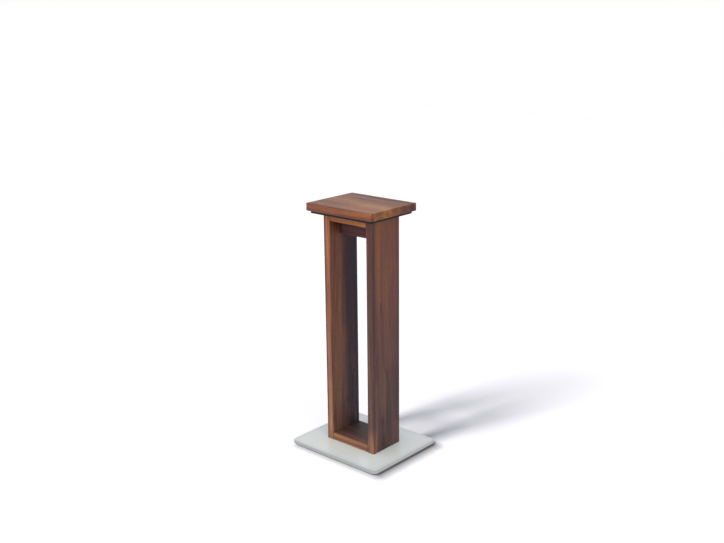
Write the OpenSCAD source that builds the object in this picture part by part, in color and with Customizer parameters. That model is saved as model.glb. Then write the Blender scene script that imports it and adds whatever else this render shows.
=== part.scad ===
// Speaker stand. Two upright boards and two rails make an open frame, with a stiffener rail
// under its head. The frame is bolted to a glass base on bumper feet, and carries a top board
// on a thin mounting plate that leaves a shadow gap.
// Sizes are in millimetres and Z is up. The origin is on the floor under the middle of the stand.
// X runs through the open frame, and the front of the stand faces -Y.

/* [Stand] */
// Height from the floor to the top of the top board
stand_h = 600; // [450:1:900]
// Radius of the eased edges on the boards
ease_r = 1.2; // [0.3:0.1:2]

/* [Top board] */
// Width of the top board, along X
top_w = 158; // [146:1:260]
// Depth of the top board, along Y
top_d = 198; // [186:1:320]
// Thickness of the top board
top_t = 18; // [16:0.5:30]
// Corner radius of the top board in plan
top_corner_r = 2.5; // [2.1:0.1:12]

/* [Mounting plate] */
// Thickness of the mounting plate, which is the height of the shadow gap
plate_t = 6; // [4:0.5:10]
// How far the plate stands back from the edge of the top board
plate_inset = 7; // [3:0.5:9]
// Corner radius of the plate in plan
plate_corner_r = 3; // [1:0.5:8]
// Radius of the broken edges of the plate
plate_edge_r = 0.4; // [0.2:0.1:0.8]

/* [Frame] */
// Width of the frame boards, along X
frame_w = 95; // [84:1:120]
// Depth of the frame over both uprights, along Y
frame_d = 148; // [132:1:164]
// Thickness of the uprights
upright_t = 18; // [16:0.5:22]
// Thickness of the top and bottom rails
rail_t = 18; // [16:0.5:24]
// Thickness of the stiffener rail, along X
stiffener_t = 18; // [16:0.5:24]
// Height of the stiffener rail
stiffener_h = 37; // [34:1:70]

/* [Glass base] */
// Width of the base, along X
base_w = 228; // [190:1:320]
// Depth of the base, along Y
base_d = 268; // [230:1:380]
// Thickness of the glass
base_t = 8; // [6:0.5:12]
// Corner radius of the base in plan
base_corner_r = 14; // [6:0.5:30]
// Radius of the polished edges of the glass
base_edge_r = 1.8; // [0.5:0.1:2.5]

/* [Feet] */
// Height from the floor to the underside of the glass
foot_h = 4; // [3.8:0.1:8]
// Diameter of a foot where it meets the glass
foot_d = 20; // [18:1:30]
// Diameter of the face that a foot stands on
foot_tread_d = 14; // [8:1:15]
// Distance from the edges of the glass to the middle of a foot
foot_inset = 26; // [18:1:40]
// Thickness of the adhesive disc between foot and glass
tape_t = 0.5; // [0.2:0.1:1]

/* [Fixings] */
// Distance from the open sides of the frame to its bolts and dowels
fixing_edge = 17.5; // [14:0.5:20]
// Wood left between a dowel's hole and a threaded insert
fixing_web = 7; // [3:0.5:10]
// Thread diameter of the bolts into the frame
bolt_d = 6; // [5:0.5:6]
// Length of bolt that reaches into the wood
bolt_grip = 10.5; // [8:0.5:12]
// Width across the flats of the hex sockets
hex_af = 4; // [3:0.5:4]
// Diameter of a base bolt's flat head
bolt_head_d = 15; // [12:0.5:18]
// Thickness of a base bolt's flat head
bolt_head_t = 2; // [1.5:0.1:2.4]
// Outer diameter of a threaded insert
insert_d = 9; // [8.2:0.1:10]
// Length of a threaded insert
insert_h = 13; // [11:0.5:14]
// Wall of the bush that keeps a bolt off the glass
bush_wall = 1.5; // [1:0.1:2]
// Thickness of the bush's flange
bush_flange_t = 1; // [0.6:0.1:1.2]
// How far the bush's flange stands out past its sleeve
bush_flange_w = 3.8; // [3:0.1:5]
// Diameter of the wood screws into the top board
screw_d = 4; // [3:0.5:5]
// Length of wood screw that reaches into the top board
screw_grip = 12; // [8:0.5:14]
// Distance from the edges of the plate to the wood screws
screw_edge = 12; // [9:0.5:14]

/* [Dowels] */
// Diameter of a dowel
dowel_d = 8; // [6:0.5:10]
// Length of a dowel
dowel_l = 30; // [24:1:32]
// Length of dowel that sits in the face of a board
dowel_face_l = 12; // [9:0.5:14]
// Number of flutes round a dowel
dowel_flutes = 12; // [6:1:16]

/* [Hidden] */
$fn = 48;
// How far a cutting shape runs past the face that it cuts
overrun = 1;
// Gap all round between a dowel or an insert and its hole
snug_gap = 0.05;
// Gap all round between a bolt or a screw and what it passes through
bolt_gap = 0.2;
// Gap all round between a bush and the hole in the glass
bush_gap = 0.25;
// Space past the end of a dowel, an insert or a screw in its blind hole
end_gap = 0.5;
// How far an insert or a countersunk head lies below its surface
sink = 0.2;
// Chamfer on the ends of bolts and of dowels
tip_chamfer = 0.8;
// Depth and radius of a dowel's flutes
flute_r = 0.4;
// Depth of the barbs on an insert
barb = 0.4;
// Number of barbs on an insert, and the share of each that is straight
barbs = 5;
barb_flat_share = 0.4;
// Depth of the socket in a flat head and in a countersunk head
flat_socket = 1.4;
cone_socket = 2.2;
// Chamfer on the rim of a flat head
head_chamfer = 0.5;
// Width and depth of the arms of a wood screw's cross recess
cross_w = 0.9;
cross_depth = 1.4;
// Length of a wood screw's point
point_l = 4;
// Chamfer on the lower rim of a foot, and height of its straight upper rim
foot_rim = 0.8;
// How far the adhesive disc stands back from the rim of a foot
tape_margin = 1.5;
// Heights of the stiffener's end dowels, as shares of its height
stiffener_dowel_shares = [0.26, 0.74];

// Levels, from the floor up
base_z = foot_h;
frame_z = base_z + base_t;
plate_z = stand_h - top_t - plate_t;
board_z = plate_z + plate_t;
top_rail_z = plate_z - rail_t;
stiffener_z = top_rail_z - stiffener_h;

// Sizes that follow from the ones above
upright_h = plate_z - frame_z;
upright_y = (frame_d - upright_t) / 2;
rail_l = frame_d - 2 * upright_t;
plate_w = top_w - 2 * plate_inset;
plate_d = top_d - 2 * plate_inset;
dowel_rail_l = dowel_l - dowel_face_l;
dowel_hole_d = dowel_d + 2 * snug_gap;
insert_hole_d = insert_d + 2 * snug_gap;
insert_hole_h = max(sink + insert_h, bolt_grip) + end_gap;
bush_bore_d = bolt_d + 2 * bolt_gap;
bush_d = bush_bore_d + 2 * bush_wall;
glass_hole_d = bush_d + 2 * bush_gap;
bolt_head_z = base_z - bush_flange_t;
cone_head_d = 2 * bolt_d;
screw_head_d = 2 * screw_d;

// Places of the fixings in plan
fixing_x = frame_w / 2 - fixing_edge;
fixing_y = rail_l / 2 - dowel_rail_l - end_gap - fixing_web - insert_hole_d / 2;
bolt_places = [for (x = [-fixing_x, fixing_x], y = [-fixing_y, fixing_y]) [x, y]];
screw_places = [
    for (x = [-1, 1], y = [-1, 1])
    [x * (plate_w / 2 - screw_edge), y * (plate_d / 2 - screw_edge)]
];
foot_x = base_w / 2 - foot_inset;
foot_y = base_d / 2 - foot_inset;
foot_places = [for (x = [-foot_x, foot_x], y = [-foot_y, foot_y]) [x, y]];

// Heights of the dowels in the rails, and of the stiffener's end dowels
bottom_dowel_z = frame_z + rail_t / 2;
top_dowel_z = top_rail_z + rail_t / 2;
stiffener_dowel_zs = [for (s = stiffener_dowel_shares) stiffener_z + s * stiffener_h];

// Outline of a rectangle, centred, with round corners
module round_rect(w, d, r) {
    square([w - 2 * r, d], center = true);
    square([w, d - 2 * r], center = true);
    for (x = [-1, 1], y = [-1, 1])
        translate([x * (w / 2 - r), y * (d / 2 - r)])
            circle(r);
}

// Slab on z = 0 with round corners in plan and round edges all along its rim
module eased_slab(w, d, t, corner_r, edge_r) {
    translate([0, d / 2 - corner_r, t / 2])
        rotate([90, 0, 0])
            linear_extrude(d - 2 * corner_r)
                round_rect(w, t, edge_r);
    translate([corner_r - w / 2, 0, t / 2])
        rotate([90, 0, 90])
            linear_extrude(w - 2 * corner_r)
                round_rect(d, t, edge_r);
    for (x = [0, 1], y = [0, 1])
        mirror([x, 0, 0])
            mirror([0, y, 0])
                translate([w / 2 - corner_r, d / 2 - corner_r, 0])
                    rotate_extrude(angle = 90)
                        slab_corner_profile(corner_r, t, edge_r);
}

// Half section of a slab's corner, with its outer edges rounded
module slab_corner_profile(corner_r, t, edge_r) {
    square([corner_r - edge_r, t]);
    translate([0, edge_r])
        square([corner_r, t - 2 * edge_r]);
    for (z = [edge_r, t - edge_r])
        translate([corner_r - edge_r, z])
            circle(edge_r);
}

// Copies its children to each place in plan
module at_places(places) {
    for (p = places)
        translate([p[0], p[1], 0])
            children();
}

// Puts its children, drawn along Z, at both ends of a rail with their +Z pointing outwards
module at_rail_ends(xs, zs) {
    for (x = xs, z = zs, side = [-1, 1])
        translate([x, side * rail_l / 2, z])
            rotate([-side * 90, 0, 0])
                children();
}

// Fluted dowel along Z, with z = 0 at the joint and its longer part below
module dowel() {
    translate([0, 0, -dowel_rail_l])
        intersection() {
            linear_extrude(dowel_l)
                difference() {
                    circle(d = dowel_d);
                    for (i = [0 : dowel_flutes - 1])
                        rotate(i * 360 / dowel_flutes)
                            translate([dowel_d / 2, 0])
                                circle(flute_r, $fn = 24);
                }
            rotate_extrude()
                polygon([
                    [0, 0],
                    [dowel_d / 2 - tip_chamfer, 0],
                    [dowel_d / 2, tip_chamfer],
                    [dowel_d / 2, dowel_l - tip_chamfer],
                    [dowel_d / 2 - tip_chamfer, dowel_l],
                    [0, dowel_l]
                ]);
        }
}

// Hole for a dowel, through the joint at z = 0 and into both boards
module dowel_hole() {
    translate([0, 0, -dowel_rail_l - end_gap])
        cylinder(h = dowel_l + 2 * end_gap, d = dowel_hole_d);
}

// Threaded insert with barbs, its mouth at z = 0 and its body above
module threaded_insert() {
    pitch = insert_h / barbs;
    translate([0, 0, sink])
        difference() {
            rotate_extrude()
                polygon([
                    [0, 0],
                    for (i = [0 : barbs - 1])
                        each [
                            [insert_d / 2, i * pitch],
                            [insert_d / 2, (i + barb_flat_share) * pitch],
                            [insert_d / 2 - barb, (i + 1) * pitch]
                        ],
                    [0, insert_h]
                ]);
            translate([0, 0, -overrun])
                cylinder(h = insert_h + 2 * overrun, d = bolt_d + 2 * snug_gap);
        }
}

// Blind hole for a threaded insert, from z = 0 up
module insert_hole() {
    translate([0, 0, -overrun])
        cylinder(h = insert_hole_h + overrun, d = insert_hole_d);
}

// Flanged bush that hangs in a hole in the glass, its flange under the glass
module bush() {
    difference() {
        union() {
            translate([0, 0, -bush_flange_t])
                cylinder(h = bush_flange_t, d = bush_d + 2 * bush_flange_w);
            cylinder(h = base_t - end_gap, d = bush_d);
        }
        translate([0, 0, -bush_flange_t - overrun])
            cylinder(h = base_t + bush_flange_t + 2 * overrun, d = bush_bore_d);
    }
}

// Hex socket that opens downwards at z = 0
module hex_socket(depth) {
    translate([0, 0, -overrun])
        cylinder(h = depth + overrun, d = hex_af / cos(30), $fn = 6);
}

// Flat-headed bolt that points up, the underside of its head against z = 0
module flat_bolt() {
    reach = bush_flange_t + base_t + bolt_grip;
    difference() {
        rotate_extrude()
            polygon([
                [0, -bolt_head_t],
                [bolt_head_d / 2 - head_chamfer, -bolt_head_t],
                [bolt_head_d / 2, head_chamfer - bolt_head_t],
                [bolt_head_d / 2, 0],
                [bolt_d / 2, 0],
                [bolt_d / 2, reach - tip_chamfer],
                [bolt_d / 2 - tip_chamfer, reach],
                [0, reach]
            ]);
        translate([0, 0, -bolt_head_t])
            hex_socket(flat_socket);
    }
}

// Half section of a countersunk screw that points up, its head's face at z = 0
module countersunk_profile(d, head_d, reach, tip_w, tip_l) {
    polygon([
        [0, 0],
        [head_d / 2, 0],
        [d / 2, (head_d - d) / 2],
        [d / 2, reach - tip_l],
        [tip_w, reach],
        [0, reach]
    ]);
}

// Countersunk hole through a plate, its wide mouth at z = 0 and the plate above
module countersunk_hole(d, head_d, depth) {
    cone_h = (head_d - d) / 2;
    mouth_d = head_d + 2 * bolt_gap;
    translate([0, 0, -overrun])
        cylinder(h = depth + 2 * overrun, d = d + 2 * bolt_gap);
    translate([0, 0, -overrun])
        cylinder(h = overrun + sink, d = mouth_d);
    translate([0, 0, sink])
        cylinder(h = cone_h, d1 = mouth_d, d2 = d + 2 * bolt_gap);
}

// Countersunk bolt that holds the plate to the top rail, pointing up from z = 0
module plate_screw() {
    translate([0, 0, sink])
        difference() {
            rotate_extrude()
                countersunk_profile(bolt_d, cone_head_d, plate_t + bolt_grip - sink,
                    bolt_d / 2 - tip_chamfer, tip_chamfer);
            hex_socket(cone_socket);
        }
}

// Countersunk wood screw with a point and a cross recess, pointing up from z = 0
module wood_screw() {
    translate([0, 0, sink])
        difference() {
            rotate_extrude()
                countersunk_profile(screw_d, screw_head_d, plate_t + screw_grip - sink, 0, point_l);
            for (a = [0, 90])
                rotate(a)
                    translate([-screw_d / 2, -cross_w / 2, -overrun])
                        cube([screw_d, cross_w, cross_depth + overrun]);
        }
}

// Rail between the uprights, its eased section centred at height z
module rail_body(w, h, z) {
    translate([0, rail_l / 2, z])
        rotate([90, 0, 0])
            linear_extrude(rail_l)
                round_rect(w, h, ease_r);
}

// One bumper foot, its tread on the floor
module foot() {
    body_h = foot_h - tape_t;
    color("dimgray")
        rotate_extrude()
            polygon([
                [0, 0],
                [foot_tread_d / 2, 0],
                [foot_tread_d / 2 + foot_rim, foot_rim],
                [foot_d / 2, body_h - foot_rim],
                [foot_d / 2, body_h],
                [0, body_h]
            ]);
}

module foot_front_left() {
    translate([-foot_x, -foot_y, 0])
        foot();
}

module foot_front_right() {
    translate([foot_x, -foot_y, 0])
        foot();
}

module foot_rear_left() {
    translate([-foot_x, foot_y, 0])
        foot();
}

module foot_rear_right() {
    translate([foot_x, foot_y, 0])
        foot();
}

module foot_tapes() {
    color("white")
        at_places(foot_places)
            translate([0, 0, foot_h - tape_t])
                cylinder(h = tape_t, d = foot_d - 2 * tape_margin);
}

module glass_base() {
    color([0.80, 0.83, 0.80])
        difference() {
            translate([0, 0, base_z])
                eased_slab(base_w, base_d, base_t, base_corner_r, base_edge_r);
            at_places(bolt_places)
                translate([0, 0, base_z - overrun])
                    cylinder(h = base_t + 2 * overrun, d = glass_hole_d);
        }
}

module base_bushes() {
    color("ivory")
        at_places(bolt_places)
            translate([0, 0, base_z])
                bush();
}

module base_bolts() {
    color("silver")
        at_places(bolt_places)
            translate([0, 0, bolt_head_z])
                flat_bolt();
}

module base_inserts() {
    color("goldenrod")
        at_places(bolt_places)
            translate([0, 0, frame_z])
                threaded_insert();
}

module bottom_rail() {
    color("peru")
        difference() {
            rail_body(frame_w, rail_t, bottom_dowel_z);
            at_rail_ends([-fixing_x, fixing_x], [bottom_dowel_z])
                dowel_hole();
            at_places(bolt_places)
                translate([0, 0, frame_z])
                    insert_hole();
        }
}

module top_rail() {
    color("peru")
        difference() {
            rail_body(frame_w, rail_t, top_dowel_z);
            at_rail_ends([-fixing_x, fixing_x], [top_dowel_z])
                dowel_hole();
            at_places(bolt_places)
                translate([0, 0, plate_z])
                    mirror([0, 0, 1])
                        insert_hole();
            for (y = [-fixing_y, fixing_y])
                translate([0, y, top_rail_z])
                    dowel_hole();
        }
}

module stiffener_rail() {
    color("sienna")
        difference() {
            rail_body(stiffener_t, stiffener_h, stiffener_z + stiffener_h / 2);
            at_rail_ends([0], stiffener_dowel_zs)
                dowel_hole();
            for (y = [-fixing_y, fixing_y])
                translate([0, y, top_rail_z])
                    dowel_hole();
        }
}

// One upright, with the holes for the rails' and the stiffener's dowels
module upright(side) {
    color("saddlebrown")
        difference() {
            translate([0, side * upright_y, frame_z])
                linear_extrude(upright_h)
                    round_rect(frame_w, upright_t, ease_r);
            at_rail_ends([-fixing_x, fixing_x], [bottom_dowel_z, top_dowel_z])
                dowel_hole();
            at_rail_ends([0], stiffener_dowel_zs)
                dowel_hole();
        }
}

module front_upright() {
    upright(-1);
}

module rear_upright() {
    upright(1);
}

module bottom_rail_dowels() {
    color("burlywood")
        at_rail_ends([-fixing_x, fixing_x], [bottom_dowel_z])
            dowel();
}

module top_rail_dowels() {
    color("burlywood")
        at_rail_ends([-fixing_x, fixing_x], [top_dowel_z])
            dowel();
}

module stiffener_end_dowels() {
    color("burlywood")
        at_rail_ends([0], stiffener_dowel_zs)
            dowel();
}

module stiffener_top_dowels() {
    color("burlywood")
        for (y = [-fixing_y, fixing_y])
            translate([0, y, top_rail_z])
                dowel();
}

module top_inserts() {
    color("goldenrod")
        at_places(bolt_places)
            translate([0, 0, plate_z])
                mirror([0, 0, 1])
                    threaded_insert();
}

module mounting_plate() {
    color([0.10, 0.10, 0.11])
        difference() {
            translate([0, 0, plate_z])
                eased_slab(plate_w, plate_d, plate_t, plate_corner_r, plate_edge_r);
            at_places(bolt_places)
                translate([0, 0, board_z])
                    mirror([0, 0, 1])
                        countersunk_hole(bolt_d, cone_head_d, plate_t);
            at_places(screw_places)
                translate([0, 0, plate_z])
                    countersunk_hole(screw_d, screw_head_d, plate_t);
        }
}

module plate_screws() {
    color("dimgray")
        at_places(bolt_places)
            translate([0, 0, board_z])
                mirror([0, 0, 1])
                    plate_screw();
}

module board_screws() {
    color("dimgray")
        at_places(screw_places)
            translate([0, 0, plate_z])
                wood_screw();
}

module top_board() {
    color("chocolate")
        difference() {
            translate([0, 0, board_z])
                eased_slab(top_w, top_d, top_t, top_corner_r, ease_r);
            at_places(screw_places)
                translate([0, 0, board_z - overrun])
                    cylinder(h = overrun + screw_grip + end_gap, d = screw_d + 2 * snug_gap);
        }
}

foot_front_left();
foot_front_right();
foot_rear_left();
foot_rear_right();
foot_tapes();
glass_base();
base_bushes();
base_bolts();
base_inserts();
bottom_rail();
front_upright();
rear_upright();
top_rail();
stiffener_rail();
bottom_rail_dowels();
top_rail_dowels();
stiffener_end_dowels();
stiffener_top_dowels();
top_inserts();
mounting_plate();
plate_screws();
board_screws();
top_board();
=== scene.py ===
import math

import bpy
from mathutils import Matrix, Vector


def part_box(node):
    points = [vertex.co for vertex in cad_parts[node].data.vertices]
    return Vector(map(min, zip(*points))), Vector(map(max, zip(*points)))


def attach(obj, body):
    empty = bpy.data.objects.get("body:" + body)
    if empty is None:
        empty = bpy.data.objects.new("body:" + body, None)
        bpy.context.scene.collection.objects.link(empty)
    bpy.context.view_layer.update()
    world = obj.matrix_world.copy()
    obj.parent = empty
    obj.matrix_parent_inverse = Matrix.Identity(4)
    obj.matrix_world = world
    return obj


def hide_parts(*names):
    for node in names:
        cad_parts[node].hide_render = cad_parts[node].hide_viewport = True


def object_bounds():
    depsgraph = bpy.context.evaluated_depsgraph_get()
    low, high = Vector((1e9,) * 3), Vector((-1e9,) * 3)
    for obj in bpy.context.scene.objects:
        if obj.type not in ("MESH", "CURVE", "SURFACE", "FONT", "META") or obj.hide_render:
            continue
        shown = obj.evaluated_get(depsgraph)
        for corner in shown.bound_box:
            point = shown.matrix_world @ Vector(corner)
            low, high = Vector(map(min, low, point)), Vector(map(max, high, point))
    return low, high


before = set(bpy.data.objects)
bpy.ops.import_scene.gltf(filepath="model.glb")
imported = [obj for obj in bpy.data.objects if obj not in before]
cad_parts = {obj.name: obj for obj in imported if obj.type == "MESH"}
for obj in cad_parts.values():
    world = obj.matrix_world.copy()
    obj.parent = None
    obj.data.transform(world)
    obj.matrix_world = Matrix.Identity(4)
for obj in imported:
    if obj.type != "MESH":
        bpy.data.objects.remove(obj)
cad_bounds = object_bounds()

MM = 0.001


def linear(code):
    """Turns an sRGB hex colour into the linear colour that a shader takes."""
    channels = [int(code[i:i + 2], 16) / 255 for i in (1, 3, 5)]
    return (*[c / 12.92 if c <= 0.04045 else ((c + 0.055) / 1.055) ** 2.4 for c in channels], 1)


def in_use(sockets, name=None):
    """The first socket that the node's settings leave in use, or the first such of that name."""
    return next(s for s in sockets if s.enabled and name in (None, s.name))


def add(tree, kind, inputs=None, stops=None, **settings):
    """Adds a node with its settings and links. An input, found by name or number, takes a value,
    a socket, or a node, which gives its first output in use. Stops are a ramp's (place, colour)."""
    node = tree.nodes.new(kind)
    for name, value in settings.items():
        setattr(node, name, value)
    for name, value in (inputs or {}).items():
        socket = node.inputs[name] if isinstance(name, int) else in_use(node.inputs, name)
        if isinstance(value, bpy.types.Node):
            value = in_use(value.outputs)
        if isinstance(value, bpy.types.NodeSocket):
            tree.links.new(value, socket)
        else:
            socket.default_value = value
    for number, (place, colour) in enumerate(stops or ()):
        elements = node.color_ramp.elements
        element = elements[number] if number < len(elements) else elements.new(place)
        element.position = place
        element.color = linear(colour)
    return node


def new_material(name):
    """A material and its empty node tree."""
    material = bpy.data.materials.new(name)
    material.use_nodes = True
    material.node_tree.nodes.clear()
    return material, material.node_tree


def show(name, data):
    """Puts new data in the scene as an object of the given name."""
    thing = bpy.data.objects.new(name, data)
    bpy.context.scene.collection.objects.link(thing)
    return thing


def beyond_box(tree, spot, low, high):
    """How far a spot lies beyond a box, as a vector from the nearest point of the box."""
    raised = add(tree, "ShaderNodeVectorMath", {0: spot, 1: low}, operation="MAXIMUM")
    nearest = add(tree, "ShaderNodeVectorMath", {0: raised, 1: high}, operation="MINIMUM")
    return add(tree, "ShaderNodeVectorMath", {0: spot, 1: nearest}, operation="SUBTRACT")


def drawn_along(grain, draw):
    """The scale on each axis that draws a pattern out along the grain, to 1 / draw times its width."""
    return [draw if letter == grain else 1.0 for letter in "XYZ"]


# Camera: the place, aim and lens that the photograph's perspective gives
CAM_YAW = math.radians(-48.308)
CAM_PITCH = math.radians(15.643)
CAM_ROLL = math.radians(-0.62)
CAM_DISTANCE = 2309.276 * MM
CAM_SIDE = 0.552 * MM
CAM_AIM_HEIGHT = 437.178 * MM
FOCAL_PIXELS = 993.229
IMAGE_PIXELS = 724
SENSOR_WIDTH = 36.0


def make_camera():
    """Builds the camera's axes from its angles. Back runs from the aim to the lens."""
    data = bpy.data.cameras.new("camera")
    data.sensor_width = SENSOR_WIDTH
    data.lens = FOCAL_PIXELS * SENSOR_WIDTH / IMAGE_PIXELS
    data.dof.use_dof = False
    back = Vector((
        math.sin(CAM_YAW) * math.cos(CAM_PITCH),
        -math.cos(CAM_YAW) * math.cos(CAM_PITCH),
        math.sin(CAM_PITCH),
    ))
    level_right = (-back).cross(Vector((0, 0, 1))).normalized()
    level_up = level_right.cross(-back)
    right = math.cos(CAM_ROLL) * level_right + math.sin(CAM_ROLL) * level_up
    up = math.cos(CAM_ROLL) * level_up - math.sin(CAM_ROLL) * level_right
    spot = Vector((0, 0, CAM_AIM_HEIGHT)) + level_right * CAM_SIDE + back * CAM_DISTANCE
    camera = show("camera", data)
    camera.matrix_world = Matrix.Translation(spot) @ Matrix((right, up, back)).transposed().to_4x4()
    bpy.context.scene.camera = camera


# Lights: a level of 1 lights a white card that faces the lamp to white
LEFT_LIGHT = {"azimuth": 176, "rise": 5, "spread": 14, "level": 0.76, "colour": "#FFF4E0"}
FRONT_LIGHT = {"azimuth": 247, "rise": 18, "spread": 13, "level": 0.30, "colour": "#FFF1D8"}

# Strip: its angles in degrees, and its distance and size in metres
STRIP_AZIMUTH = 166
STRIP_RISE = 51
STRIP_DISTANCE = 300.0
STRIP_SIZE = (50.0, 160.0)
STRIP_LEVEL = 1.85

# Sky: cool and dim low on the +X side, bright overhead, and plain light from under the floor
SKY_SIDE = (-0.5, 0.0, 0.87)
SKY_LOW = {"level": 0.46, "colour": "#B1C4FF"}
SKY_HIGH = {"level": 1.36, "colour": "#F1F5FA"}
SKY_UNDER = {"level": 0.60, "colour": "#F6F3EE"}
SKY_UNDER_FROM = -0.3
SKY_UNDER_FULL = -0.9


def lamp(name, kind, azimuth, rise, distance=0.0):
    """A lamp that shines on the object's middle from the given angles in degrees. Azimuth 0 is +X
    and azimuth 90 is +Y."""
    azimuth, rise = math.radians(azimuth), math.radians(rise)
    towards = Vector((
        math.cos(azimuth) * math.cos(rise),
        math.sin(azimuth) * math.cos(rise),
        math.sin(rise),
    ))
    aim = (cad_bounds[0] + cad_bounds[1]) / 2
    turn = towards.to_track_quat("Z", "Y").to_matrix().to_4x4()
    holder = show(name, bpy.data.lights.new(name, kind))
    holder.matrix_world = Matrix.Translation(aim + towards * distance) @ turn
    return holder


def make_lights(floor):
    """Two warm soft lights, which leave no hot spots, light the object. A tall strip lights the floor
    alone, so the object throws its shadow there and keeps plain light."""
    for name, light in (("left", LEFT_LIGHT), ("front", FRONT_LIGHT)):
        holder = lamp(name, "SUN", light["azimuth"], light["rise"])
        holder.visible_glossy = False
        data = holder.data
        data.angle = math.radians(light["spread"])
        data.energy = light["level"] * math.pi
        data.color = linear(light["colour"])[:3]
    strip = lamp("strip", "AREA", STRIP_AZIMUTH, STRIP_RISE, STRIP_DISTANCE)
    strip.data.shape = "RECTANGLE"
    strip.data.size, strip.data.size_y = STRIP_SIZE
    strip.data.energy = STRIP_LEVEL * (math.pi * STRIP_DISTANCE) ** 2
    lit = bpy.data.collections.new("lit by the strip")
    lit.objects.link(floor)
    strip.light_linking.receiver_collection = lit


def make_sky():
    """A bright ceiling lights the object, with cool light low in the room and plain light from under
    the floor. The camera, mirrors and clear pieces see white in its place."""
    world = bpy.data.worlds.new("studio")
    bpy.context.scene.world = world
    world.use_nodes = True
    tree = world.node_tree
    tree.nodes.clear()
    ray = add(tree, "ShaderNodeLightPath")
    direct = add(tree, "ShaderNodeMath", {
        0: ray.outputs["Is Camera Ray"], 1: ray.outputs["Is Glossy Ray"],
    }, operation="MAXIMUM")
    seen = add(tree, "ShaderNodeMath", {
        0: direct, 1: ray.outputs["Is Transmission Ray"],
    }, operation="MAXIMUM")
    look = add(tree, "ShaderNodeTexCoord").outputs["Generated"]
    height = add(tree, "ShaderNodeVectorMath", {0: look, 1: SKY_SIDE}, operation="DOT_PRODUCT")
    low, high, under = (
        [channel * part["level"] for channel in linear(part["colour"])]
        for part in (SKY_LOW, SKY_HIGH, SKY_UNDER)
    )
    shade = add(tree, "ShaderNodeMix", {"Factor": height, "A": low, "B": high}, data_type="RGBA")
    steep = add(tree, "ShaderNodeMapRange", {
        "Value": add(tree, "ShaderNodeSeparateXYZ", {0: look}).outputs["Z"],
        "From Min": SKY_UNDER_FROM, "From Max": SKY_UNDER_FULL,
    })
    whole = add(tree, "ShaderNodeMix", {"Factor": steep, "A": shade, "B": under}, data_type="RGBA")
    sky = add(tree, "ShaderNodeBackground", {"Color": whole, "Strength": 1.0})
    white = add(tree, "ShaderNodeBackground", {"Color": (1, 1, 1, 1), "Strength": 1.0})
    mixed = add(tree, "ShaderNodeMixShader", {0: seen, 1: sky, 2: white})
    add(tree, "ShaderNodeOutputWorld", {"Surface": mixed})


# Glass base: its corner radius in plan, in mm
GLASS_CORNER = 14.0


def past_glass_edge(tree, spot):
    """A spot's distance past the glass's outline in plan, which is below zero inside it."""
    low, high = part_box("glass_base")
    corner = Vector((GLASS_CORNER, GLASS_CORNER, 0)) * MM
    flat = add(tree, "ShaderNodeVectorMath", {
        0: beyond_box(tree, spot, low + corner, high - corner), 1: (1, 1, 0),
    }, operation="MULTIPLY")
    reach = add(tree, "ShaderNodeVectorMath", {0: flat}, operation="LENGTH")
    return add(tree, "ShaderNodeMath", {0: reach, 1: GLASS_CORNER * MM}, operation="SUBTRACT")


# Floor: pale paper, 12 m square, that the strip lifts to white wherever nothing shades it
FLOOR_SIZE = 12.0
FLOOR_COLOUR = "#B5B3B4"
# Painted shadows on the paper round the base and between the shadow's bars: each is full inside its box,
# in mm
PAINTED_FLOOR_SHADES = [
    {"low": (-101, -138, 0), "high": (101, 109, 0), "reach": 28.0, "depth": 0.66},
    {"low": (130, -78, 0), "high": (220, -35, 0), "reach": 75.0, "depth": 0.27},
]
# Painted light: the paper is a little lighter just under the glass's rim
UNDER_REACH = 3.0
UNDER_RIM_PAINTED_LIGHT = 1.3


def floor_painted_shade(tree, spot):
    """How dark the paper is at a spot. Painted shadow makes it darker round the base and between the
    two bars of the shadow than these lights give: each painted shade is full inside its box, in mm,
    and fades over its reach. Under the glass, past its rim, painted light makes it a little lighter."""
    tone = 1.0
    for part in PAINTED_FLOOR_SHADES:
        low, high = (Vector(part[corner]) * MM for corner in ("low", "high"))
        away = add(tree, "ShaderNodeVectorMath", {
            0: beyond_box(tree, spot, low, high),
        }, operation="LENGTH")
        shade = add(tree, "ShaderNodeMapRange", {
            "Value": away, "From Max": part["reach"] * MM, "To Min": 1 - part["depth"],
        })
        tone = add(tree, "ShaderNodeMath", {0: tone, 1: shade}, operation="MULTIPLY")
    # Painted light under the glass's rim
    painted_light_under_rim = add(tree, "ShaderNodeMapRange", {
        "Value": past_glass_edge(tree, spot), "From Min": -UNDER_REACH * MM, "From Max": 0.0,
        "To Min": UNDER_RIM_PAINTED_LIGHT, "To Max": 1.0,
    })
    return add(tree, "ShaderNodeMath", {0: tone, 1: painted_light_under_rim}, operation="MULTIPLY")


def make_floor():
    """The camera alone sees the paper, and only from above, so light from under the floor reaches the
    object's underside."""
    half = FLOOR_SIZE / 2
    corners = [(-half, -half, 0), (half, -half, 0), (half, half, 0), (-half, half, 0)]
    mesh = bpy.data.meshes.new("floor")
    mesh.from_pydata(corners, [], [(0, 1, 2, 3)])
    material, tree = new_material("backdrop_paper")
    spot = add(tree, "ShaderNodeTexCoord").outputs["Object"]
    # The paper's colour carries its painted shadow and light
    paper_with_painted_shade = add(tree, "ShaderNodeMix", {
        "Factor": 1.0, "A": linear(FLOOR_COLOUR), "B": floor_painted_shade(tree, spot),
    }, data_type="RGBA", blend_type="MULTIPLY")
    paper = add(tree, "ShaderNodeBsdfDiffuse", {"Color": paper_with_painted_shade})
    face = add(tree, "ShaderNodeNewGeometry")
    clear = add(tree, "ShaderNodeBsdfTransparent")
    one_sided = add(tree, "ShaderNodeMixShader", {
        0: face.outputs["Backfacing"], 1: paper, 2: clear,
    })
    add(tree, "ShaderNodeOutputMaterial", {"Surface": one_sided})
    mesh.materials.append(material)
    floor = show("floor", mesh)
    floor.visible_diffuse = False
    floor.visible_glossy = False
    floor.visible_transmission = False
    floor.visible_shadow = False
    return floor


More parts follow.
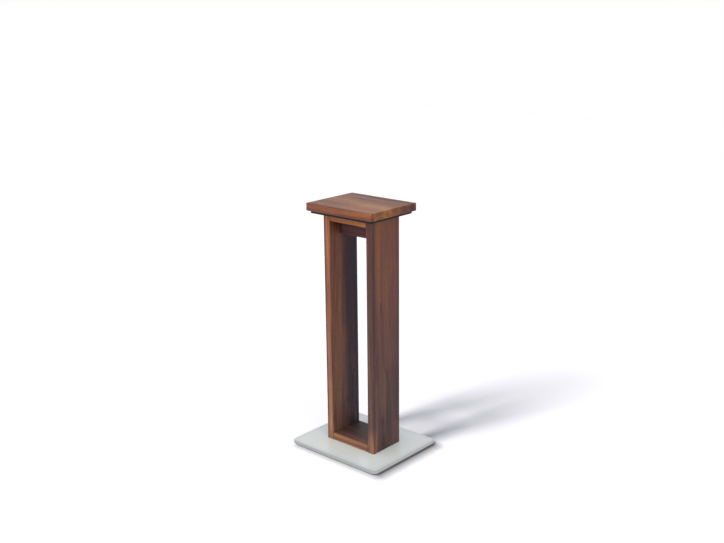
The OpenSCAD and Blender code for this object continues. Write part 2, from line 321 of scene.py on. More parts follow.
# Walnut: widths in mm of the figure, and how far each pattern is drawn along the grain
RING_WIDTH = 3.4
RING_WANDER = 7.0
WANDER_WIDTH = 40.0
WANDER_DRAW = 0.15
BAND_WIDTH = 15.0
FIBRE_WIDTH = 1.8
FIBRE_DRAW = 0.04
PORE_WIDTH = 0.5
PORE_DRAW = 0.08
PORE_FROM = 0.60
PORE_FULL = 0.74
PORE_DARKNESS = 0.45
PORE_DEPTH = 1.5

# Growth rings: good and bad spells of years, the faintest ring, and the colours across one year
SPELLS_PER_YEAR = 0.35
SPELL_SWING = 3.0
FAINTEST_RING = 0.15
ONE_YEAR = [
    (0.0, "#606060"), (0.10, "#000000"), (0.50, "#303030"), (0.88, "#FFFFFF"), (1.0, "#606060"),
]

# Heartwood: each pattern's share in the figure, its mean and middle, and its colours
BAND_SHARE = 0.9
YEAR_BAND_SHARE = 0.5
FIBRE_SHARE = 0.22
RING_SHARE = -0.24
FIGURE_MEAN = 0.72
FIGURE_MIDDLE = 0.50
DARKEST_PLACE = 0.08
HEARTWOOD = [(0.30, "#4D3937"), (0.50, "#6A4B42"), (0.74, "#8D6240"), (0.98, "#B08753")]
OIL_DARK = "#1E1210"

# Streaks and painted shade: how far they are drawn along the grain, and the shares of their reach where
# they fade
STREAK_AND_SHADE_DRAW = 0.12
STREAK_AND_SHADE_CORE = 0.5
STREAK_AND_SHADE_END = 1.3

# End grain: the oil's depth in mm, and the share of it that is fully dark
END_SOAK = 1.6
SOAKED_SHARE = 0.4

# Boards: each streak and each painted shade is a low corner, a high corner, a reach in mm and a depth
WALNUT_BOARDS = {
    "front_upright": {
        "grain": "Z", "pith": (-12, -20, 0), "lean": (1.3, 0.3), "tones": (-0.18, 0.04),
        "tints": ("#FFFFFF", "#FFE3D8"),
        "contrast": 0.7, "soak": 0.4, "darkest": "#342921", "streaks_and_painted_shade": [
            ((-60, -78, 85), (-46, -54, 640), 7, 0.14),
            ((-60, -78, 330), (-46, -54, 640), 14, 0.12),
            ((-60, -78, 0), (-38, -56, 34), 6, -0.16),
            ((-40, -78, 0), (-36, -73, 160), 5, -0.12),
            ((-22, -78, 440), (6, -70, 530), 16, -0.04),
            ((4, -78, 110), (60, -70, 170), 8, 0.08),
            ((-13, -78, 0), (-3, -70, 90), 6, 0.08),
        ],
    },
    "rear_upright": {
        "grain": "Z", "pith": (14, 135, 0), "lean": (0.9, -0.4), "tones": (-0.04, 0.0),
        "tints": ("#FFFFFF", "#FFE3D8"),
        "contrast": 0.85, "soak": 0.4, "darkest": "#343043", "streaks_and_painted_shade": [
            # Painted shade on the inner face, y 50 to 56: darker towards +X, where the front upright
            # shades it, and at the top
            ((5, 50, 0), (60, 56, 640), 9, 0.10),
            ((16, 50, 0), (60, 56, 640), 9, 0.10),
            ((28, 50, 0), (60, 56, 640), 9, 0.10),
            ((10, 50, 400), (40, 56, 640), 12, 0.06),
            ((-60, 58, 200), (-46, 70, 380), 6, 0.07),
            ((-60, 54, 0), (-46, 72, 40), 6, -0.07),
            ((-60, 73, 0), (-44, 80, 640), 5, 0.25),
            ((-60, 62, 60), (-44, 66, 560), 4, -0.12),
            # Painted light and shade on the inner face: lighter near the -X opening, darker further in
            # and at the foot
            ((-50, 50, 0), (8, 56, 640), 7, -0.06),
            ((-10, 50, 330), (2, 56, 560), 8, 0.11),
            ((15, 50, 20), (32, 56, 180), 8, -0.15),
            ((37, 50, 260), (60, 56, 640), 8, 0.10),
            ((-40, 50, 0), (10, 56, 40), 10, 0.08),
        ],
    },
    "bottom_rail": {
        "grain": "Y", "pith": (8, 0, -70), "lean": (0.8, 0.3), "tones": (-0.05, -0.05),
        "tints": ("#FFFCEE", "#FFFCEE"),
        "contrast": 0.75, "soak": 0.85, "darkest": "#2F2C36", "streaks_and_painted_shade": [
            # Painted shade: the rail's top is darker inside the frame, where the uprights and the top
            # rail shade it
            ((-5, -70, 34), (50, 70, 34), 28, 0.27),
        ],
    },
    "top_rail": {
        "grain": "Y", "pith": (-12, 0, 640), "lean": (0.7, 0.4), "tones": (0.24, 0.14),
        "tints": ("#FFE7C4", "#FFE7C4"),
        "contrast": 1.0, "soak": 0.85,
    },
    # The stiffener is darker and pinker all over: painted shade of its place set back under the top rail
    "stiffener_rail": {
        "grain": "Y", "pith": (70, 0, 530), "lean": (0.6, 0.3), "tones": (-0.27, -0.27),
        "tints": ("#FFD1D1", "#FFD1D1"),
        "contrast": 0.9, "soak": 0.4,
    },
    "top_board": {
        "grain": "Y", "pith": (10, 0, 440), "lean": (0.8, 0.5), "tones": (0.04, 0.02),
        "tints": ("#FFE1C8", "#FFE1C8"),
        "contrast": 1.15, "soak": 0.0, "streaks_and_painted_shade": [
            ((-66, -99, 575), (-10, -60, 610), 14, -0.16),
            ((50, -99, 575), (79, -60, 610), 30, 0.14),
            ((-79, -99, 575), (-76, -20, 610), 8, 0.08),
        ],
    },
}


def place_in_log(tree, spot, grain, pith, lean):
    """A spot's place in the log that its board is sawn from. The log's centre line is Z, and the
    wood wanders to and fro round it."""
    from_pith = add(tree, "ShaderNodeVectorMath", {
        0: spot, 1: [p * MM for p in pith],
    }, operation="SUBTRACT")
    upright = math.radians(90) if grain == "Y" else 0.0
    log = add(tree, "ShaderNodeMapping", {
        "Vector": from_pith,
        "Rotation": (upright + math.radians(lean[0]), math.radians(lean[1]), 0),
    })
    slow = add(tree, "ShaderNodeMapping", {"Vector": log, "Scale": (1, 1, WANDER_DRAW)})
    wander = add(tree, "ShaderNodeTexNoise", {
        "Vector": slow, "Scale": 1 / (WANDER_WIDTH * MM), "Detail": 2.0, "Roughness": 0.5,
    })
    push = add(tree, "ShaderNodeMapRange", {
        "Vector": wander.outputs["Color"],
        "To Min": (-RING_WANDER * MM,) * 3,
        "To Max": (RING_WANDER * MM,) * 3,
    }, data_type="FLOAT_VECTOR")
    return add(tree, "ShaderNodeVectorMath", {0: log, 1: push}, operation="ADD")


def growth_rings(tree, grown):
    """Two patterns of the distance from the log's centre line: a ring for each year, some faint and
    some strong, and wider bands of like years."""
    across = add(tree, "ShaderNodeVectorMath", {0: grown, 1: (1, 1, 0)}, operation="MULTIPLY")
    radius = add(tree, "ShaderNodeVectorMath", {0: across}, operation="LENGTH")
    years = add(tree, "ShaderNodeMath", {0: radius, 1: RING_WIDTH * MM}, operation="DIVIDE")
    spells = add(tree, "ShaderNodeTexNoise", {
        "W": years, "Scale": SPELLS_PER_YEAR, "Detail": 1.0,
    }, noise_dimensions="1D")
    aged = add(tree, "ShaderNodeMath", {0: spells, 1: SPELL_SWING, 2: years}, operation="MULTIPLY_ADD")
    season = add(tree, "ShaderNodeMath", {0: aged}, operation="FRACT")
    year = add(tree, "ShaderNodeMath", {0: aged}, operation="FLOOR")
    vigour = add(tree, "ShaderNodeTexWhiteNoise", {"W": year}, noise_dimensions="1D")
    late_wood = add(tree, "ShaderNodeValToRGB", {"Fac": season}, stops=ONE_YEAR)
    ring = add(tree, "ShaderNodeMath", {
        0: late_wood, 1: add(tree, "ShaderNodeMapRange", {"Value": vigour, "To Min": FAINTEST_RING}),
    }, operation="MULTIPLY")
    year_bands = add(tree, "ShaderNodeTexNoise", {
        "W": years, "Scale": RING_WIDTH / BAND_WIDTH, "Detail": 2.0, "Roughness": 0.6,
    }, noise_dimensions="1D")
    return ring, year_bands


def streak_and_shade_round(tree, spot, grain, bands, low, high, reach):
    """A pattern that is 1 in a box and near it, and fades to 0 at about its reach in mm. It is drawn
    out along the grain, and the wood's bands fray its edge."""
    corners = ([c * MM for c in corner] for corner in (low, high))
    apart = beyond_box(tree, spot, *corners)
    drawn_out = add(tree, "ShaderNodeVectorMath", {
        0: apart, 1: drawn_along(grain, STREAK_AND_SHADE_DRAW),
    }, operation="MULTIPLY")
    away = add(tree, "ShaderNodeVectorMath", {0: drawn_out}, operation="LENGTH")
    frayed = add(tree, "ShaderNodeMath", {
        0: bands, 1: STREAK_AND_SHADE_CORE * reach * MM, 2: away,
    }, operation="MULTIPLY_ADD")
    return add(tree, "ShaderNodeMapRange", {
        "Value": frayed, "From Min": STREAK_AND_SHADE_CORE * reach * MM, "From Max": STREAK_AND_SHADE_END * reach * MM,
        "To Min": 1.0, "To Max": 0.0,
    }, interpolation_type="SMOOTHSTEP")


def end_grain(tree, travel, start, end, soak):
    """How dark the oil makes a board's two end faces, which drink more of it than its sides do."""
    to_start = add(tree, "ShaderNodeMath", {0: travel, 1: start}, operation="SUBTRACT")
    to_end = add(tree, "ShaderNodeMath", {0: end, 1: travel}, operation="SUBTRACT")
    to_face = add(tree, "ShaderNodeMath", {0: to_start, 1: to_end}, operation="MINIMUM")
    return add(tree, "ShaderNodeMapRange", {
        "Value": to_face, "From Min": SOAKED_SHARE * END_SOAK * MM, "From Max": END_SOAK * MM,
        "To Min": soak, "To Max": 0.0,
    })


def oiled_walnut(
    board, grain, pith, lean, tones, tints, contrast, soak, darkest="#2B292F", streaks_and_painted_shade=(),
):
    """Solid walnut, planed, sanded and oiled. The boards are sawn from round logs, so one solid
    pattern serves all their faces. The eye sees growth rings as flames on wide faces and as straight
    lines on edges, bands of lighter and darker heartwood, long dark pores and a satin sheen. The
    pores, 0.2 to 0.3 mm wide, are drawn at twice that.

    Grain is the board's long axis, pith a point in mm on the log's centre line and lean the log's
    tilt in degrees. Tones lighten or darken the board's two ends, and tints colour them. Contrast
    weighs the figure, whose darkest heartwood is brown or purple-grey; on the rear upright and the
    bottom rail its blue cast also colours their painted shade. Soak is how dark the oil makes the end
    grain, so that a rail's joints show as dark lines. Each streak and each painted shade darkens the
    wood round a box, or lightens it where its depth is below zero. Some are the wood's own figure;
    others are painted shade and light, where parts of the frame shade each other."""
    material, tree = new_material("oiled_walnut_" + board)
    spot = add(tree, "ShaderNodeTexCoord").outputs["Object"]
    grown = place_in_log(tree, spot, grain, pith, lean)
    ring, year_bands = growth_rings(tree, grown)
    drawn = add(tree, "ShaderNodeMapping", {"Vector": grown, "Scale": (1, 1, FIBRE_DRAW)})
    bands = add(tree, "ShaderNodeTexNoise", {
        "Vector": drawn, "Scale": 1 / (BAND_WIDTH * MM), "Detail": 3.0, "Roughness": 0.68,
    })
    fibres = add(tree, "ShaderNodeTexNoise", {
        "Vector": drawn, "Scale": 1 / (FIBRE_WIDTH * MM), "Detail": 2.0, "Roughness": 0.55,
    })
    long = add(tree, "ShaderNodeMapping", {"Vector": grown, "Scale": (1, 1, PORE_DRAW)})
    vessels = add(tree, "ShaderNodeTexNoise", {
        "Vector": long, "Scale": 1 / (PORE_WIDTH * MM), "Detail": 0.0,
    })
    pores = add(tree, "ShaderNodeMapRange", {
        "Value": vessels, "From Min": PORE_FROM, "From Max": PORE_FULL,
    }, interpolation_type="SMOOTHSTEP")

    axis = "XYZ".index(grain)
    start, end = (corner[axis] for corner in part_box(board))
    travel = add(tree, "ShaderNodeSeparateXYZ", {0: spot}).outputs[axis]
    share_along = add(tree, "ShaderNodeMapRange", {
        "Value": travel, "From Min": start, "From Max": end,
    })
    tone = add(tree, "ShaderNodeMapRange", {
        "Value": share_along,
        "To Min": tones[0] + FIGURE_MIDDLE, "To Max": tones[1] + FIGURE_MIDDLE,
    })

    # The patterns' own mean comes off, so that contrast leaves a board's tone as it is
    figure = add(tree, "ShaderNodeMath", {0: tone, 1: FIGURE_MEAN * contrast}, operation="SUBTRACT")
    terms = [
        (bands, BAND_SHARE * contrast),
        (year_bands, YEAR_BAND_SHARE * contrast),
        (fibres, FIBRE_SHARE * contrast),
        (ring, RING_SHARE * contrast),
    ]
    for low, high, reach, depth in streaks_and_painted_shade:
        terms.append((streak_and_shade_round(tree, spot, grain, bands, low, high, reach), -depth))
    for part, share in terms:
        figure = add(tree, "ShaderNodeMath", {0: part, 1: share, 2: figure}, operation="MULTIPLY_ADD")
    wood = add(tree, "ShaderNodeValToRGB", {"Fac": figure}, stops=[
        (DARKEST_PLACE, darkest), *HEARTWOOD,
    ])

    tint = add(tree, "ShaderNodeMix", {
        "Factor": share_along, "A": linear(tints[0]), "B": linear(tints[1]),
    }, data_type="RGBA")
    tinted = add(tree, "ShaderNodeMix", {
        "Factor": 1.0, "A": wood, "B": tint,
    }, data_type="RGBA", blend_type="MULTIPLY")
    filled = add(tree, "ShaderNodeMath", {0: pores, 1: PORE_DARKNESS}, operation="MULTIPLY")
    soaked = add(tree, "ShaderNodeMath", {
        0: filled, 1: end_grain(tree, travel, start, end, soak),
    }, operation="MAXIMUM")
    colour = add(tree, "ShaderNodeMix", {
        "Factor": soaked, "A": tinted, "B": linear(OIL_DARK),
    }, data_type="RGBA")
    relief = add(tree, "ShaderNodeMath", {0: pores, 1: -PORE_DEPTH, 2: fibres}, operation="MULTIPLY_ADD")
    bump = add(tree, "ShaderNodeBump", {"Height": relief, "Strength": 0.3, "Distance": 0.1 * MM})
    satin = add(tree, "ShaderNodeMapRange", {
        "Value": figure, "From Min": 0.2, "From Max": 0.9, "To Min": 0.52, "To Max": 0.40,
    })
    shader = add(tree, "ShaderNodeBsdfPrincipled", {
        "Base Color": colour, "Roughness": satin, "IOR": 1.5, "Specular IOR Level": 0.2,
        "Normal": bump,
    })
    add(tree, "ShaderNodeOutputMaterial", {"Surface": shader})
    return material


# Glass: distances past its outline in mm, and the width of the clouds in its paint
POLISH_FROM = -2.2
POLISH_FULL = -0.5
RIM_SHADE_FROM = -24.0
CLOUD_WIDTH = 60.0


def painted_glass():
    """Float glass with a pale grey-green paint baked on its back. The top is smooth and faintly
    mirrors what stands on it. The ground and polished edge looks darker and is drawn as a soft
    mirror. Over the last 24 mm inside it the paint is darker: painted shade, standing in for light
    that leaves the glass through its edge."""
    material, tree = new_material("back_painted_glass")
    spot = add(tree, "ShaderNodeTexCoord").outputs["Object"]
    margin = past_glass_edge(tree, spot)
    edge = add(tree, "ShaderNodeMapRange", {
        "Value": margin, "From Min": POLISH_FROM * MM, "From Max": POLISH_FULL * MM,
    }, interpolation_type="SMOOTHSTEP")
    # Painted shade: the paint darkens over the last 24 mm before the rim
    rim_painted_shade = add(tree, "ShaderNodeMapRange", {
        "Value": margin, "From Min": RIM_SHADE_FROM * MM, "From Max": 0.0,
    }, interpolation_type="SMOOTHSTEP")
    cloud = add(tree, "ShaderNodeTexNoise", {
        "Vector": spot, "Scale": 1 / (CLOUD_WIDTH * MM), "Detail": 2.0,
    })
    paint = add(tree, "ShaderNodeValToRGB", {"Fac": cloud}, stops=[(0.3, "#E3E5DC"), (0.7, "#E7E9DF")])
    paint_with_rim_shade = add(tree, "ShaderNodeMix", {
        "Factor": rim_painted_shade, "A": paint, "B": linear("#D3D6CF"),
    }, data_type="RGBA")
    colour = add(tree, "ShaderNodeMix", {
        "Factor": edge, "A": paint_with_rim_shade, "B": linear("#B9BCBB"),
    }, data_type="RGBA")
    gloss = add(tree, "ShaderNodeMapRange", {"Value": edge, "To Min": 0.08, "To Max": 0.6})
    shader = add(tree, "ShaderNodeBsdfPrincipled", {
        "Base Color": colour, "Metallic": edge, "Roughness": gloss, "IOR": 1.52,
        "Specular IOR Level": 0.15,
    })
    add(tree, "ShaderNodeOutputMaterial", {"Surface": shader})
    return material


# Small parts: the width in mm of each pattern of their finishes
PEEL_WIDTH = 1.6
POWDER_WIDTH = 0.4
RUBBER_GRAIN = 0.5
BLOOM_WIDTH = 7.0
CELL_WIDTH = 0.3
FLOW_WIDTH = 4.0
LATHE_RING = 0.3
TARNISH_WIDTH = 3.0
ZINC_CLOUD = 4.0
OXIDE_CLOUD = 3.0

# Beech: widths in mm, how far each is drawn along the grain, and the level where flecks show
BEECH_FIBRE = 0.7
BEECH_DRAW = 0.08
RAY_WIDTH = 0.6
RAY_DRAW = 0.25
RAY_FROM = 0.62
RAY_FULL = 0.75


def black_powder_coat():
    """Sheet steel with a black polyester powder baked on. The powder melts into a faint orange peel,
    1 to 2 mm wide, and stays matt, so the plate reads as a plain dark line."""
    material, tree = new_material("black_powder_coat")
    spot = add(tree, "ShaderNodeTexCoord").outputs["Object"]
    peel = add(tree, "ShaderNodeTexNoise", {
        "Vector": spot, "Scale": 1 / (PEEL_WIDTH * MM), "Detail": 1.0,
    })
    speck = add(tree, "ShaderNodeTexNoise", {
        "Vector": spot, "Scale": 1 / (POWDER_WIDTH * MM), "Detail": 2.0,
    })
    colour = add(tree, "ShaderNodeValToRGB", {"Fac": speck}, stops=[(0.3, "#0B0B0D"), (0.7, "#141416")])
    matt = add(tree, "ShaderNodeMapRange", {"Value": speck, "To Min": 0.6, "To Max": 0.75})
    bump = add(tree, "ShaderNodeBump", {"Height": peel, "Strength": 0.4, "Distance": 0.04 * MM})
    shader = add(tree, "ShaderNodeBsdfPrincipled", {
        "Base Color": colour, "Roughness": matt, "Specular IOR Level": 0.3, "Normal": bump,
    })
    add(tree, "ShaderNodeOutputMaterial", {"Surface": shader})
    return material


def moulded_rubber():
    """Black rubber from a spark-eroded mould, whose fine matt grain is drawn at 0.5 mm. A thin grey
    bloom comes to the surface in patches as it ages."""
    material, tree = new_material("moulded_rubber")
    spot = add(tree, "ShaderNodeTexCoord").outputs["Object"]
    grain = add(tree, "ShaderNodeTexNoise", {
        "Vector": spot, "Scale": 1 / (RUBBER_GRAIN * MM), "Detail": 2.0,
    })
    bloom = add(tree, "ShaderNodeTexNoise", {
        "Vector": spot, "Scale": 1 / (BLOOM_WIDTH * MM), "Detail": 3.0,
    })
    colour = add(tree, "ShaderNodeValToRGB", {"Fac": bloom}, stops=[(0.35, "#1D1D20"), (0.75, "#34343A")])
    bump = add(tree, "ShaderNodeBump", {"Height": grain, "Strength": 0.5, "Distance": 0.05 * MM})
    shader = add(tree, "ShaderNodeBsdfPrincipled", {
        "Base Color": colour, "Roughness": 0.8, "Specular IOR Level": 0.35, "Normal": bump,
    })
    add(tree, "ShaderNodeOutputMaterial", {"Surface": shader})
    return material


def acrylic_foam():
    """Adhesive foam tape, punched to discs. It is chalky white, and its cut edge shows burst cells of
    about 0.1 mm, drawn at 0.3 mm."""
    material, tree = new_material("acrylic_foam")
    spot = add(tree, "ShaderNodeTexCoord").outputs["Object"]
    cells = add(tree, "ShaderNodeTexVoronoi", {"Vector": spot, "Scale": 1 / (CELL_WIDTH * MM)})
    colour = add(tree, "ShaderNodeValToRGB", {"Fac": cells}, stops=[(0.0, "#BFBFBA"), (0.5, "#E2E2DD")])
    bump = add(tree, "ShaderNodeBump", {"Height": cells, "Strength": 0.6, "Distance": 0.08 * MM})
    shader = add(tree, "ShaderNodeBsdfPrincipled", {
        "Base Color": colour, "Roughness": 0.9, "Normal": bump,
    })
    add(tree, "ShaderNodeOutputMaterial", {"Surface": shader})
    return material


def natural_nylon():
    """Nylon without pigment, injection moulded. Light sinks a little way into it, so it looks milky,
    and faint clouds show where the melt flowed."""
    material, tree = new_material("natural_nylon")
    spot = add(tree, "ShaderNodeTexCoord").outputs["Object"]
    flow = add(tree, "ShaderNodeTexNoise", {
        "Vector": spot, "Scale": 1 / (FLOW_WIDTH * MM), "Detail": 2.0,
    })
    colour = add(tree, "ShaderNodeValToRGB", {"Fac": flow}, stops=[(0.3, "#DDD8C6"), (0.7, "#ECE8DA")])
    satin = add(tree, "ShaderNodeMapRange", {"Value": flow, "To Min": 0.4, "To Max": 0.55})
    shader = add(tree, "ShaderNodeBsdfPrincipled", {
        "Base Color": colour, "Roughness": satin, "IOR": 1.53,
        "Subsurface Weight": 0.2, "Subsurface Scale": 1.0 * MM,
    })
    add(tree, "ShaderNodeOutputMaterial", {"Surface": shader})
    return material


def steamed_beech(name, grain):
    """Beech, steamed to an even pink-brown and milled to rod. The eye sees a close straight grain
    with short dark ray flecks, 2 to 3 mm long, which lie along the dowel."""
    material, tree = new_material(name)
    spot = add(tree, "ShaderNodeTexCoord").outputs["Object"]
    drawn = add(tree, "ShaderNodeVectorMath", {
        0: spot, 1: drawn_along(grain, BEECH_DRAW),
    }, operation="MULTIPLY")
    fibres = add(tree, "ShaderNodeTexNoise", {
        "Vector": drawn, "Scale": 1 / (BEECH_FIBRE * MM), "Detail": 3.0,
    })
    short = add(tree, "ShaderNodeVectorMath", {
        0: spot, 1: drawn_along(grain, RAY_DRAW),
    }, operation="MULTIPLY")
    rays = add(tree, "ShaderNodeTexNoise", {
        "Vector": short, "Scale": 1 / (RAY_WIDTH * MM), "Detail": 0.0,
    })
    flecks = add(tree, "ShaderNodeMapRange", {
        "Value": rays, "From Min": RAY_FROM, "From Max": RAY_FULL,
    })
    wood = add(tree, "ShaderNodeValToRGB", {"Fac": fibres}, stops=[(0.3, "#C69E74"), (0.7, "#DDBB90")])
    colour = add(tree, "ShaderNodeMix", {
        "Factor": flecks, "A": wood, "B": linear("#A5764F"),
    }, data_type="RGBA")
    bump = add(tree, "ShaderNodeBump", {"Height": fibres, "Strength": 0.3, "Distance": 0.05 * MM})
    shader = add(tree, "ShaderNodeBsdfPrincipled", {
        "Base Color": colour, "Roughness": 0.62, "Normal": bump,
    })
    add(tree, "ShaderNodeOutputMaterial", {"Surface": shader})
    return material


def turned_brass():
    """Free-cutting brass, turned upright from bar. The tool leaves rings 0.1 mm apart, drawn at
    0.3 mm, which spread the glints sideways, and the metal dulls unevenly to brown."""
    material, tree = new_material("turned_brass")
    spot = add(tree, "ShaderNodeTexCoord").outputs["Object"]
    height = add(tree, "ShaderNodeSeparateXYZ", {0: spot}).outputs["Z"]
    rings = add(tree, "ShaderNodeTexNoise", {
        "W": height, "Scale": 1 / (LATHE_RING * MM), "Detail": 1.0,
    }, noise_dimensions="1D")
    tarnish = add(tree, "ShaderNodeTexNoise", {
        "Vector": spot, "Scale": 1 / (TARNISH_WIDTH * MM), "Detail": 3.0,
    })
    colour = add(tree, "ShaderNodeValToRGB", {"Fac": tarnish}, stops=[(0.3, "#B08A48"), (0.7, "#D2AF68")])
    worn = add(tree, "ShaderNodeMapRange", {"Value": tarnish, "To Min": 0.45, "To Max": 0.22})
    bump = add(tree, "ShaderNodeBump", {"Height": rings, "Strength": 0.5, "Distance": 0.02 * MM})
    shader = add(tree, "ShaderNodeBsdfPrincipled", {
        "Base Color": colour, "Metallic": 1.0, "Roughness": worn, "Normal": bump,
    })
    add(tree, "ShaderNodeOutputMaterial", {"Surface": shader})
    return material


def bright_zinc_plate():
    """Steel, electroplated with bright zinc. It is silvery with a slight blue cast, and cloudy where
    hands and spanners have dulled it."""
    material, tree = new_material("bright_zinc_plate")
    spot = add(tree, "ShaderNodeTexCoord").outputs["Object"]
    cloud = add(tree, "ShaderNodeTexNoise", {
        "Vector": spot, "Scale": 1 / (ZINC_CLOUD * MM), "Detail": 4.0,
    })
    colour = add(tree, "ShaderNodeValToRGB", {"Fac": cloud}, stops=[(0.3, "#B4BAC0"), (0.7, "#D0D3D6")])
    dulled = add(tree, "ShaderNodeMapRange", {"Value": cloud, "To Min": 0.45, "To Max": 0.2})
    shader = add(tree, "ShaderNodeBsdfPrincipled", {
        "Base Color": colour, "Metallic": 1.0, "Roughness": dulled,
    })
    add(tree, "ShaderNodeOutputMaterial", {"Surface": shader})
    return material


def black_oxide_steel():
    """Steel blackened in hot salts and oiled. The skin is thin and nearly black, with a low sheen and
    brown-grey clouds where the oil has dried."""
    material, tree = new_material("black_oxide_steel")
    spot = add(tree, "ShaderNodeTexCoord").outputs["Object"]
    cloud = add(tree, "ShaderNodeTexNoise", {
        "Vector": spot, "Scale": 1 / (OXIDE_CLOUD * MM), "Detail": 4.0,
    })
    colour = add(tree, "ShaderNodeValToRGB", {"Fac": cloud}, stops=[(0.3, "#1F1F22"), (0.7, "#37342F")])
    oiled = add(tree, "ShaderNodeMapRange", {"Value": cloud, "To Min": 0.35, "To Max": 0.55})
    shader = add(tree, "ShaderNodeBsdfPrincipled", {
        "Base Color": colour, "Metallic": 1.0, "Roughness": oiled,
    })
    add(tree, "ShaderNodeOutputMaterial", {"Surface": shader})
    return material


def dress(finish, *nodes):
    """Gives CAD nodes their finish."""
    for node in nodes:
        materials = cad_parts[node].data.materials
        materials.clear()
        materials.append(finish)


# Fasteners: each is turned once, with its thread and socket, and set out in fours by a node tree
TURN_STEPS = 36
RINGS_PER_PITCH = 6
CREASE_ANGLE = 32
CROSS_SHARPNESS = 12

# Fastener sizes in mm: a thread is its diameter, its core and its pitch
M6_THREAD = (6.0, 4.9, 1.0)
WOOD_THREAD = (4.0, 2.7, 1.8)
BOLT_TIP = 2.2
SOCKET_FLATS = 4.0
SOCKET_MOUTH = 2.6
BASE_BOLT_HEAD = 15.0
PLATE_SCREW_HEAD = 12.0
BOARD_SCREW_HEAD = 8.0


def round_ring(height, radius):
    """A round step of a turned shape."""
    return height, [radius] * TURN_STEPS


def hex_ring(height, across_flats):
    """The rim of a hex socket."""
    sector = 60
    offsets = [(360 * i / TURN_STEPS + sector / 2) % sector - sector / 2 for i in range(TURN_STEPS)]
    return height, [across_flats / 2 / math.cos(math.radians(offset)) for offset in offsets]


def cross_ring(height, core, arm):
    """The rim of a cross recess, whose radius peaks four times a turn."""
    waves = [math.cos(4 * math.pi * i / TURN_STEPS) ** CROSS_SHARPNESS for i in range(TURN_STEPS)]
    return height, [core + (arm - core) * wave for wave in waves]


def thread_rings(start, end, diameter, core, pitch):
    """Rings whose radius rises and falls once a pitch and once a turn, which winds a thread that
    runs out at both ends."""
    count = round((end - start) / pitch * RINGS_PER_PITCH)
    rings = []
    for number in range(count + 1):
        height = start + (end - start) * number / count
        fade = min(1, (height - start) / pitch, (end - height) / pitch)
        rise = (diameter - core) / 2 * fade
        winds = [(height / pitch - i / TURN_STEPS) % 1 for i in range(TURN_STEPS)]
        rings.append((height, [core / 2 + rise * (1 - abs(2 * wind - 1)) for wind in winds]))
    return rings


def turned(name, rings):
    """A closed mesh round Z from rings of height and radii in mm, from its head's face upwards."""
    points = [(0, 0, rings[0][0] * MM)]
    for height, radii in rings:
        for step, radius in enumerate(radii):
            angle = 2 * math.pi * step / TURN_STEPS
            points.append((radius * math.cos(angle) * MM, radius * math.sin(angle) * MM, height * MM))
    points.append((0, 0, rings[-1][0] * MM))
    faces = []
    for step in range(TURN_STEPS):
        after = (step + 1) % TURN_STEPS
        for ring in range(len(rings) - 1):
            here = 1 + ring * TURN_STEPS
            above = here + TURN_STEPS
            faces.append((here + step, here + after, above + after, above + step))
        top = 1 + (len(rings) - 1) * TURN_STEPS
        faces.append((0, 1 + after, 1 + step))
        faces.append((top + step, top + after, len(points) - 1))
    mesh = bpy.data.meshes.new(name)
    mesh.from_pydata(points, [], faces)
    mesh.shade_smooth()
    mesh.set_sharp_from_angle(angle=math.radians(CREASE_ANGLE))
    return mesh


def fours_tree():
    """Sets its piece out at the corners of a rectangle, each turned at random as fasteners stop."""
    tree = bpy.data.node_groups.new("set_out_in_fours", "GeometryNodeTree")
    tree.is_modifier = True
    sockets = {
        "Piece": "NodeSocketGeometry", "Spacing X": "NodeSocketFloat", "Spacing Y": "NodeSocketFloat",
        "Height": "NodeSocketFloat", "Flip": "NodeSocketFloat", "Seed": "NodeSocketInt",
        "Finish": "NodeSocketMaterial",
    }
    for name, kind in sockets.items():
        tree.interface.new_socket(name, in_out="INPUT", socket_type=kind)
    tree.interface.new_socket("Pieces", in_out="OUTPUT", socket_type="NodeSocketGeometry")
    given = add(tree, "NodeGroupInput").outputs
    corners = add(tree, "GeometryNodeMeshGrid", {
        "Size X": given["Spacing X"], "Size Y": given["Spacing Y"], "Vertices X": 2, "Vertices Y": 2,
    })
    raised = add(tree, "GeometryNodeSetPosition", {
        "Geometry": corners, "Offset": add(tree, "ShaderNodeCombineXYZ", {"Z": given["Height"]}),
    })
    turn = add(tree, "FunctionNodeRandomValue", {
        "Min": 0.0, "Max": math.tau, "Seed": given["Seed"],
    }, data_type="FLOAT")
    angles = add(tree, "ShaderNodeCombineXYZ", {"X": given["Flip"], "Z": turn})
    placed = add(tree, "GeometryNodeInstanceOnPoints", {
        "Points": raised, "Instance": given["Piece"],
        "Rotation": add(tree, "FunctionNodeEulerToRotation", {"Euler": angles}),
    })
    real = add(tree, "GeometryNodeRealizeInstances", {"Geometry": placed})
    dressed = add(tree, "GeometryNodeSetMaterial", {"Geometry": real, "Material": given["Finish"]})
    add(tree, "NodeGroupOutput", {"Pieces": dressed})
    return tree


def set_in_fours(tree, node, mesh, finish, head, seed, down=False):
    """Puts four of a fastener in the place of a CAD node, by its box and its head's width in mm. Down
    points their tips down, for screws that are driven from above."""
    low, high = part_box(node)
    piece = show(node + "_threaded", mesh)
    modifier = piece.modifiers.new("fours", "NODES")
    modifier.node_group = tree
    values = {
        "Spacing X": high[0] - low[0] - head * MM,
        "Spacing Y": high[1] - low[1] - head * MM,
        "Height": high[2] if down else low[2],
        "Flip": math.pi if down else 0.0,
        "Seed": seed,
        "Finish": finish,
    }
    for socket in tree.interface.items_tree:
        if socket.name in values:
            modifier[socket.identifier] = values[socket.name]
    evaluated = piece.evaluated_get(bpy.context.evaluated_depsgraph_get())
    whole = bpy.data.meshes.new_from_object(evaluated)
    piece.modifiers.remove(modifier)
    piece.data = whole
    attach(piece, "root")
    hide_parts(node)


def length_of(node):
    """The height in mm of a CAD node's box."""
    low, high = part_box(node)
    return (high[2] - low[2]) / MM


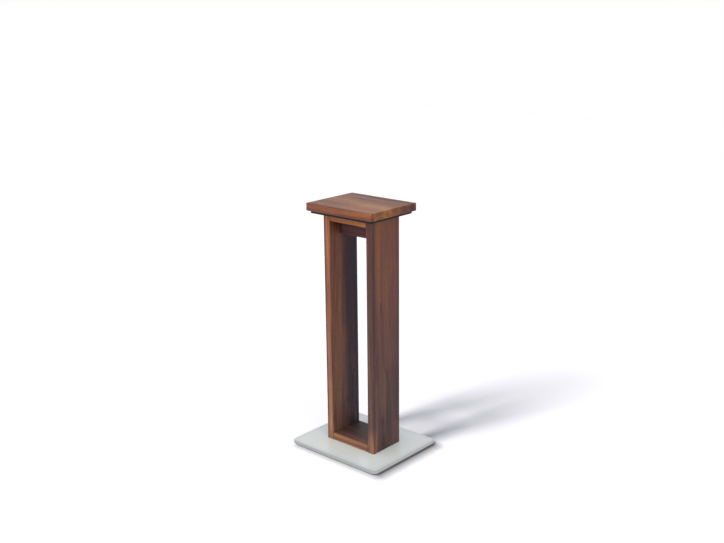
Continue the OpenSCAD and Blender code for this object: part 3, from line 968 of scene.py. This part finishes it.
def make_fasteners(zinc, oxide):
    """Flat-headed bolts for the glass, countersunk bolts for the plate, wood screws for the board.
    Heights in mm run from the face of the head."""
    end = length_of("base_bolts")
    base_bolt = turned("base_bolt", [
        hex_ring(1.5, 3.6), hex_ring(1.4, SOCKET_FLATS), hex_ring(0.3, SOCKET_FLATS),
        round_ring(0.0, SOCKET_MOUTH), round_ring(0.0, 6.9), round_ring(0.12, 7.2),
        round_ring(0.5, 7.5), round_ring(1.85, 7.5), round_ring(2.0, 7.35), round_ring(2.0, 3.2),
        round_ring(2.2, 3.0), round_ring(3.6, 3.0), *thread_rings(4.2, end - 0.2, *M6_THREAD),
        round_ring(end, BOLT_TIP),
    ])
    end = length_of("plate_screws")
    plate_screw = turned("plate_screw", [
        hex_ring(2.4, 3.4), hex_ring(2.2, SOCKET_FLATS), hex_ring(0.3, SOCKET_FLATS),
        round_ring(0.0, SOCKET_MOUTH), round_ring(0.0, 5.8), round_ring(0.2, 6.0),
        round_ring(0.5, 5.7), round_ring(3.2, 3.0), round_ring(3.8, 3.0),
        *thread_rings(4.4, end - 0.2, *M6_THREAD), round_ring(end, BOLT_TIP),
    ])
    end = length_of("board_screws")
    board_screw = turned("board_screw", [
        cross_ring(1.7, 0.2, 0.6), cross_ring(1.4, 0.5, 1.2), cross_ring(0.0, 0.8, 1.9),
        round_ring(0.0, 2.3), round_ring(0.0, 3.8), round_ring(0.2, 4.0), round_ring(0.4, 3.8),
        round_ring(2.4, 1.6), round_ring(4.6, 1.4), *thread_rings(5.0, end - 3.0, *WOOD_THREAD),
        round_ring(end - 0.5, 0.35), round_ring(end, 0.1),
    ])
    tree = fours_tree()
    set_in_fours(
        tree, "base_bolts", base_bolt, zinc, head=BASE_BOLT_HEAD, seed=4,
    )
    set_in_fours(
        tree, "plate_screws", plate_screw, oxide, head=PLATE_SCREW_HEAD, seed=7,
        down=True,
    )
    set_in_fours(
        tree, "board_screws", board_screw, oxide, head=BOARD_SCREW_HEAD, seed=11,
    )


make_camera()
make_lights(make_floor())
make_sky()
for board, wood in WALNUT_BOARDS.items():
    dress(oiled_walnut(board, **wood), board)
dress(painted_glass(), "glass_base")
dress(black_powder_coat(), "mounting_plate")
dress(turned_brass(), "base_inserts", "top_inserts")
dress(natural_nylon(), "base_bushes")
dress(acrylic_foam(), "foot_tapes")
dress(moulded_rubber(), "foot_front_left", "foot_front_right", "foot_rear_left", "foot_rear_right")
dress(steamed_beech("steamed_beech", "Y"),
      "bottom_rail_dowels", "top_rail_dowels", "stiffener_end_dowels")
dress(steamed_beech("steamed_beech_upright", "Z"), "stiffener_top_dowels")
make_fasteners(bright_zinc_plate(), black_oxide_steel())

bpy.context.scene.view_settings.view_transform = "Standard"
